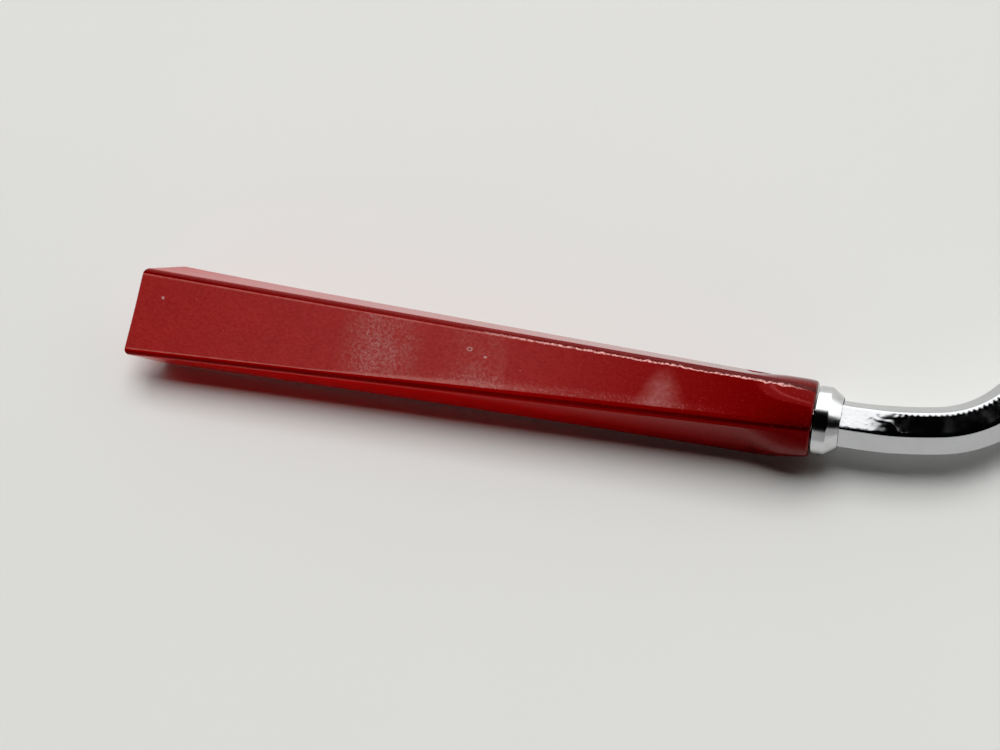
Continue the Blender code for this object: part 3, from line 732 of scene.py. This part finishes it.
# ---------------------------------------------------------------- neck
def neck_path():
    """Stations (travelled, x, y, heading) along the bar's centreline, from its shoulder."""
    rest_angle = BEND_ANGLE - LEAD_ANGLE
    runs = [(LEAD_STRAIGHT, 0.0), (LEAD_RADIUS * LEAD_ANGLE, LEAD_ANGLE),
            (BEND_RADIUS * rest_angle, rest_angle), (CRANK_STRAIGHT, 0.0),
            (BEND_RADIUS * BEND_ANGLE, -BEND_ANGLE), (FRONT_STRAIGHT, 0.0),
            (DROP_LENGTH, 0.0), (PALM_LENGTH, 0.0)]
    stations = [(0.0, SHOULDER_X, AXIS_Y, 0.0)]
    for number, (length, bend) in enumerate(runs):
        spacing = FINE_SPACING if number < FINE_RUNS else COARSE_SPACING
        steps = math.ceil(length / spacing) if number < len(runs) - 1 else 1
        for _ in range(steps):
            travelled, x, y, heading = stations[-1]
            step_length = length / steps
            half_bend = bend / steps / 2
            chord = step_length
            if half_bend:
                chord = step_length * math.sin(half_bend) / half_bend
            x += chord * math.cos(heading + half_bend)
            y += chord * math.sin(heading + half_bend)
            stations.append((travelled + step_length, x, y, heading + 2 * half_bend))
    return stations


def wrinkle(travelled, across, up, half_width):
    """Height of the fine pressing marks along the inner top edge of the first bend."""
    on_edge = smooth_step(1 - abs(across / half_width - 0.5) / 0.16) * smooth_step(up / 0.002)
    on_bend = smooth_step((travelled - 0.013) / 0.004) * smooth_step((0.052 - travelled) / 0.006)
    wave = math.sin(math.tau * travelled / WRINKLE_PITCH)
    wave += 0.35 * math.sin(math.tau * travelled / WRINKLE_BEAT)
    return WRINKLE_HEIGHT * on_edge * on_bend * wave


def bar_ring(station, low, high, half_flat, half_width):
    """Rounded hexagon ring between two heights, square to the path."""
    travelled, x, y, heading = station
    middle, half = (low + high) / 2, (high - low) / 2
    corners = [Vector((half_flat, half)), Vector((half_width, 0.0)), Vector((half_flat, -half)),
               Vector((-half_flat, -half)), Vector((-half_width, 0.0)), Vector((-half_flat, half))]
    arcs = rounded_polygon(corners, [BAR_CORNER_RADIUS] * 6, BAR_CORNER_STEPS)
    outline = with_flats(arcs, BAR_FLAT_STEPS)
    side = Vector((-math.sin(heading), math.cos(heading)))
    twisted = Matrix.Rotation(-FIRST_TWIST * (1 - smooth_step((travelled - 0.007) / 0.008)), 2)
    ring = []
    for point in outline:
        up = point.y + wrinkle(travelled, point.x, point.y, half_width)
        across, up = twisted @ Vector((point.x, up))
        ring.append((x + across * side.x, y + across * side.y, middle + up))
    return ring


def tang_rings(hexagon):
    """Round tang behind the bar's shoulder, with as many points as the hexagon has."""
    centre = Vector((SHOULDER_X, AXIS_Y, AXIS_HEIGHT))
    chamfer = 0.0008
    rings = []
    for back, radius in ((TANG_LENGTH, TANG_RADIUS - chamfer), (TANG_LENGTH - chamfer, TANG_RADIUS),
                         (0.0, TANG_RADIUS)):
        ring = []
        for point in hexagon:
            out = (Vector(point) - centre).normalized() * radius
            ring.append(tuple(centre + out - Vector((back, 0.0, 0.0))))
        rings.append(ring)
    return rings


def neck_rings():
    side = BAR_ACROSS_FLATS / math.sqrt(3)
    stations = neck_path()
    drop_from = stations[-1][0] - PALM_LENGTH - DROP_LENGTH
    bar_low = AXIS_HEIGHT - BAR_ACROSS_FLATS / 2
    bar_high = AXIS_HEIGHT + BAR_ACROSS_FLATS / 2
    flat_less = PALM_THICKNESS * 0.3
    rings = []
    for station in stations[:-1]:
        share = smooth_step((station[0] - drop_from) / DROP_LENGTH)
        spread = smooth_step((station[0] - drop_from - DROP_LENGTH * 0.15) / (DROP_LENGTH * 0.85))
        rings.append(bar_ring(station, mix(bar_low, PALM_BOTTOM, share), mix(bar_high, PALM_TOP, share),
                              mix(side / 2, PALM_HALF_WIDTH - flat_less, spread),
                              mix(side, PALM_HALF_WIDTH, spread)))
    _, x, y, _ = stations[-2]
    round_length = PALM_HALF_WIDTH * 1.1
    for angle in (*range(0, 72, 6), 75, 79):    # the palm's round front, just short of a point
        reach = PALM_LENGTH - round_length * (1 - math.sin(math.radians(angle)))
        half_width = PALM_HALF_WIDTH * math.cos(math.radians(angle))
        # these rings stand at 0.0 of the path, so they lean by FIRST_TWIST
        rings.append(bar_ring((0.0, x + reach, y, 0.0), PALM_BOTTOM, PALM_TOP,
                              half_width - flat_less, half_width))
    backwards = tang_rings(rings[0])
    travelled = [0.0] * len(backwards) + [station[0] for station in stations[:-1]]
    rings = backwards + rings
    travelled += [stations[-1][0]] * (len(rings) - len(travelled))
    return travelled, rings


def palm_start():
    _, x, y, _ = neck_path()[-2]
    return x, y


def rivet_centres():
    centres = []
    for number in (1, 2, 3):
        low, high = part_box(f"rivet_{number}")
        centres.append(((low[0] + high[0]) / 2, (low[1] + high[1]) / 2))
    return centres


def drill(x, y):
    """Cutter for one rivet hole, which reaches past both faces of the palm."""
    radius, past = RIVET_SHANK_RADIUS + GAP, 0.002
    length = PALM_TOP + 2 * past
    return turned_mesh("drill", [(0.0, length), (radius, length), (radius, 0.0), (0.0, 0.0)],
                       Matrix.Translation((x, y, -past)), 48)


def add_neck_bar():
    travelled, rings = neck_rings()
    mesh = loft_mesh("neck_bar_steel", rings)
    set_attribute(mesh, "travelled", [value for value in travelled for _ in rings[0]])
    for x, y in rivet_centres():
        mesh = cut_mesh(mesh, drill(x, y))
    mesh.name = "neck_bar_steel"
    add_piece("neck_bar_steel", mesh, bar_chrome(), "neck_bar", 30)


# ---------------------------------------------------------------- blade and rivets
def add_loop(curve, points):
    spline = curve.splines.new("POLY")
    spline.points.add(len(points) - 1)
    for slot, point in zip(spline.points, points):
        slot.co = (point[0], point[1], 0.0, 1.0)
    spline.use_cyclic_u = True


def circle(x, y, radius, steps):
    return [(x + radius * math.cos(math.tau * i / steps), y + radius * math.sin(math.tau * i / steps))
            for i in range(steps)]


def slot_outline(front_x, centre_y, length):
    """Slot with half-round ends."""
    radius = SLOT_WIDTH / 2
    points = []
    for centre_x, start in ((front_x - radius, -90), (front_x - length + radius, 90)):
        for step in range(17):
            angle = math.radians(start + 180 * step / 16)
            points.append((centre_x + radius * math.cos(angle), centre_y + radius * math.sin(angle)))
    return points


def blade_curve():
    middle = palm_start()[1]
    rear, front = BLADE_LOW[0], BLADE_HIGH[0]
    rear_half, front_half = BLADE_REAR_WIDTH / 2, BLADE_FRONT_WIDTH / 2
    corners = [Vector((rear, middle + rear_half)), Vector((front, middle + front_half)),
               Vector((front, middle - front_half)), Vector((rear, middle - rear_half))]
    radii = [BLADE_REAR_RADIUS, BLADE_FRONT_RADIUS, BLADE_FRONT_RADIUS, BLADE_REAR_RADIUS]
    curve = bpy.data.curves.new("blade_outline", "CURVE")
    curve.dimensions = "2D"
    curve.fill_mode = "BOTH"
    curve.extrude = BLADE_THICKNESS / 2 - BLADE_EDGE_ROUND
    curve.bevel_depth = BLADE_EDGE_ROUND
    curve.bevel_resolution = 2
    curve.offset = -BLADE_EDGE_ROUND
    add_loop(curve, [point for arc in rounded_polygon(corners, radii, 20) for point in arc])
    for number, length in enumerate(SLOT_LENGTHS):
        centre_y = middle + (number - (len(SLOT_LENGTHS) - 1) / 2) * SLOT_PITCH
        add_loop(curve, slot_outline(front - SLOT_FRONT_MARGIN, centre_y, length))
    for x, y in rivet_centres():
        add_loop(curve, circle(x, y, RIVET_SHANK_RADIUS + GAP, 40))
    return curve


def edge_wedge():
    """Wedge that grinds the top of the cutting edge."""
    front, middle, reach = BLADE_HIGH[0], palm_start()[1], 0.01
    slope = (BLADE_THICKNESS - EDGE_THICKNESS) / EDGE_BEVEL_LENGTH
    section = [(front - EDGE_BEVEL_LENGTH - reach, BLADE_THICKNESS + slope * reach),
               (front + reach, EDGE_THICKNESS - slope * reach), (front + reach, BLADE_THICKNESS + reach)]
    rings = [[(x, middle + side * BLADE_FRONT_WIDTH, z) for x, z in section] for side in (-1, 1)]
    return loft_mesh("edge_wedge", rings)


def add_blade():
    flat = bpy.data.objects.new("blade_flat", blade_curve())
    bpy.context.scene.collection.objects.link(flat)
    depsgraph = bpy.context.evaluated_depsgraph_get()
    mesh = bpy.data.meshes.new_from_object(flat.evaluated_get(depsgraph))
    bpy.data.objects.remove(flat)
    mesh.transform(Matrix.Translation((0, 0, BLADE_THICKNESS / 2)))
    cage = bmesh.new()
    cage.from_mesh(mesh)
    bmesh.ops.remove_doubles(cage, verts=cage.verts, dist=0.000001)
    bmesh.ops.recalc_face_normals(cage, faces=cage.faces)
    cage.to_mesh(mesh)
    cage.free()
    mesh = cut_mesh(mesh, edge_wedge())
    mesh.name = "blade_plate"
    steel = brushed_steel("blade_steel", 1500.0, (0.60, 0.60, 0.59))
    add_piece("blade_plate", mesh, steel, "blade", 30)


def add_rivets():
    steel = brushed_steel("rivet_steel", 700.0, (0.64, 0.64, 0.63))
    for number, (x, y) in enumerate(rivet_centres(), 1):
        low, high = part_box(f"rivet_{number}")
        head_radius = (high[0] - low[0]) / 2
        seat = high[2] - RIVET_HEAD_HEIGHT
        points = [(0.0, high[2])]
        for angle in range(6, 91, 6):
            dome = math.radians(angle)
            points.append((head_radius * math.sin(dome), seat + RIVET_HEAD_HEIGHT * math.cos(dome)))
        points += [(head_radius - 0.0002, seat), (RIVET_SHANK_RADIUS, seat),
                   (RIVET_SHANK_RADIUS, 0.0), (0.0, 0.0)]
        mesh = turned_mesh(f"rivet_stud_{number}", points, Matrix.Translation((x, y, 0.0)), 64)
        add_piece(f"rivet_stud_{number}", mesh, steel, f"rivet_{number}", 35)


# ---------------------------------------------------------------- surroundings
def add_table():
    cage = bmesh.new()
    bmesh.ops.create_grid(cage, x_segments=2, y_segments=2, size=20.0)
    mesh = bpy.data.meshes.new("table_top")
    cage.to_mesh(mesh)
    cage.free()
    table = bpy.data.objects.new("table_top", mesh)
    table.location = (0, 0, -0.0001)
    mesh.materials.append(pale_table())
    bpy.context.scene.collection.objects.link(table)


CAMERA_PITCH = math.radians(75.1)      # down from the horizon, looking across the handle
CAMERA_LEAN = math.radians(14.0)       # then towards the butt
CAMERA_ROLL = math.radians(9.24)
CAMERA_DISTANCE = 0.3937
CAMERA_LENS = 60.93
SENSOR_WIDTH = 36.0
LIGHT_DISTANCE = 6.0
WALL_TOP = 72.0                        # degrees round from the far horizon, over the tool
ROOM_TOP = 144.0
WALL_GREY = (0.85, 0.85, 0.85)
CEILING_GREY = (0.004, 0.004, 0.004)
ROOM_GREY = (0.20, 0.20, 0.195)
SHADING_STRENGTH = 0.80                # what the room gives to matt surfaces,
REFLECTION_STRENGTH = 2.0              # and to bright ones
BACKDROP_GREY = (0.62, 0.62, 0.61)
TONE_CURVE = ((0.012, 0.0025), (0.030, 0.014), (0.070, 0.060),
              (0.140, 0.140), (0.300, 0.300), (0.600, 0.600))
CAMERA_TARGET = Vector((BUTT_X + 0.0934, AXIS_Y - 0.0016, AXIS_HEIGHT))


def add_camera():
    across = Vector((0.0, math.cos(CAMERA_PITCH), -math.sin(CAMERA_PITCH)))
    view = across * math.cos(CAMERA_LEAN) - Vector((math.sin(CAMERA_LEAN), 0.0, 0.0))
    level_right = across * math.sin(CAMERA_LEAN) + Vector((math.cos(CAMERA_LEAN), 0.0, 0.0))
    level_up = level_right.cross(view)
    right = level_right * math.cos(CAMERA_ROLL) + level_up * math.sin(CAMERA_ROLL)
    up = right.cross(view)
    data = bpy.data.cameras.new("camera")
    data.lens = CAMERA_LENS
    data.sensor_width = SENSOR_WIDTH
    data.clip_start = 0.01
    data.clip_end = 100.0
    camera = bpy.data.objects.new("camera", data)
    camera.rotation_mode = "QUATERNION"
    camera.rotation_quaternion = Matrix((right, up, -view)).transposed().to_quaternion()
    camera.location = CAMERA_TARGET - view * CAMERA_DISTANCE
    bpy.context.scene.collection.objects.link(camera)
    bpy.context.scene.camera = camera


def add_panel(name, sideways, elevation, wide, tall, radiance):
    """Flat light beyond the tool, facing it; wide and tall are the angles that it takes up, and
    sideways is how far its middle lies along X, as a share of its distance."""
    elevation = math.radians(elevation)
    towards = Vector((sideways, math.cos(elevation), math.sin(elevation)))
    data = bpy.data.lights.new(name, "AREA")
    data.shape = "RECTANGLE"
    data.size = 2 * LIGHT_DISTANCE * math.tan(math.radians(wide) / 2)
    data.size_y = 2 * LIGHT_DISTANCE * math.tan(math.radians(tall) / 2)
    data.energy = radiance * math.pi * data.size * data.size_y
    light = bpy.data.objects.new(name, data)
    light.location = Vector((FERRULE_LOW[0], AXIS_Y, 0.0)) + towards * LIGHT_DISTANCE
    light.rotation_euler = (elevation - math.pi / 2, 0.0, 0.0)
    light.visible_camera = False
    bpy.context.scene.collection.objects.link(light)
    return light


def add_lights():
    """One big soft light for the shading, and two bright rails that only show in reflections."""
    softbox = add_panel("softbox", sideways=0.0, elevation=62.0, wide=35.0, tall=34.0, radiance=6.8)
    softbox.visible_glossy = False
    softbox.data.color = (1.0, 0.997, 0.985)
    upper = add_panel("upper_rail", sideways=0.04, elevation=60.0, wide=28.0, tall=5.0, radiance=2.5)
    lower = add_panel("lower_rail", sideways=0.03, elevation=20.0, wide=16.0, tall=1.5, radiance=7.0)
    for rail in (upper, lower):
        rail.visible_diffuse = False


def set_world():
    """White wall beyond the tool, black ceiling above it and grey room behind the camera."""
    world = bpy.data.worlds.new("studio")
    world.use_nodes = True
    tree = world.node_tree
    background = tree.nodes["Background"]
    place = tree.nodes.new("ShaderNodeTexCoord")
    split = tree.nodes.new("ShaderNodeSeparateXYZ")
    turn = tree.nodes.new("ShaderNodeMath")
    turn.operation = "ARCTAN2"
    half_turns = tree.nodes.new("ShaderNodeMath")
    half_turns.operation = "DIVIDE"
    half_turns.inputs[1].default_value = math.pi
    ramp = tree.nodes.new("ShaderNodeValToRGB")
    tree.links.new(place.outputs["Generated"], split.inputs[0])
    tree.links.new(split.outputs["Z"], turn.inputs[0])
    tree.links.new(split.outputs["Y"], turn.inputs[1])
    tree.links.new(turn.outputs[0], half_turns.inputs[0])
    tree.links.new(half_turns.outputs[0], ramp.inputs[0])
    stops = ramp.color_ramp.elements
    stops[0].position, stops[0].color = 0.0, (*WALL_GREY, 1)
    stops[1].position, stops[1].color = 1.0, (*ROOM_GREY, 1)
    for degrees, colour in ((WALL_TOP - 1, WALL_GREY), (WALL_TOP + 1, CEILING_GREY),
                            (ROOM_TOP - 3, CEILING_GREY), (ROOM_TOP + 3, ROOM_GREY)):
        stops.new(degrees / 180).color = (*colour, 1)
    path = tree.nodes.new("ShaderNodeLightPath")
    strength = tree.nodes.new("ShaderNodeMapRange")
    strength.inputs["To Min"].default_value = SHADING_STRENGTH
    strength.inputs["To Max"].default_value = REFLECTION_STRENGTH
    tree.links.new(path.outputs["Is Glossy Ray"], strength.inputs["Value"])
    room = tree.nodes.new("ShaderNodeVectorMath")
    room.operation = "SCALE"
    tree.links.new(ramp.outputs[0], room.inputs[0])
    tree.links.new(strength.outputs[0], room.inputs["Scale"])
    backdrop = tree.nodes.new("ShaderNodeMix")
    backdrop.data_type = "RGBA"
    backdrop.inputs[7].default_value = (*BACKDROP_GREY, 1)
    tree.links.new(path.outputs["Is Camera Ray"], backdrop.inputs[0])
    tree.links.new(room.outputs[0], backdrop.inputs[6])
    tree.links.new(backdrop.outputs[2], background.inputs["Color"])
    bpy.context.scene.world = world


def set_colour():
    """Plain display colours, with the deep blacks of a small camera."""
    scene = bpy.context.scene
    settings = scene.view_settings
    settings.view_transform = "Standard"
    settings.look = "None"
    settings.use_curve_mapping = True
    tones = settings.curve_mapping.curves[3]
    for light_in, light_out in TONE_CURVE:
        tones.points.new(light_in, light_out)
    settings.curve_mapping.update()
    scene.cycles.use_denoising = True


def add_insert_finish():
    """The brass insert's CAD shape is right, so it only gets its finish."""
    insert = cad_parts["tang_insert"]
    insert.data.materials.clear()
    insert.data.materials.append(turned_brass())


add_camera()
add_lights()
set_world()
set_colour()
add_table()
add_handle()
add_insert_finish()
add_ferrule()
add_neck_bar()
add_blade()
add_rivets()

bpy.context.view_layer.update()
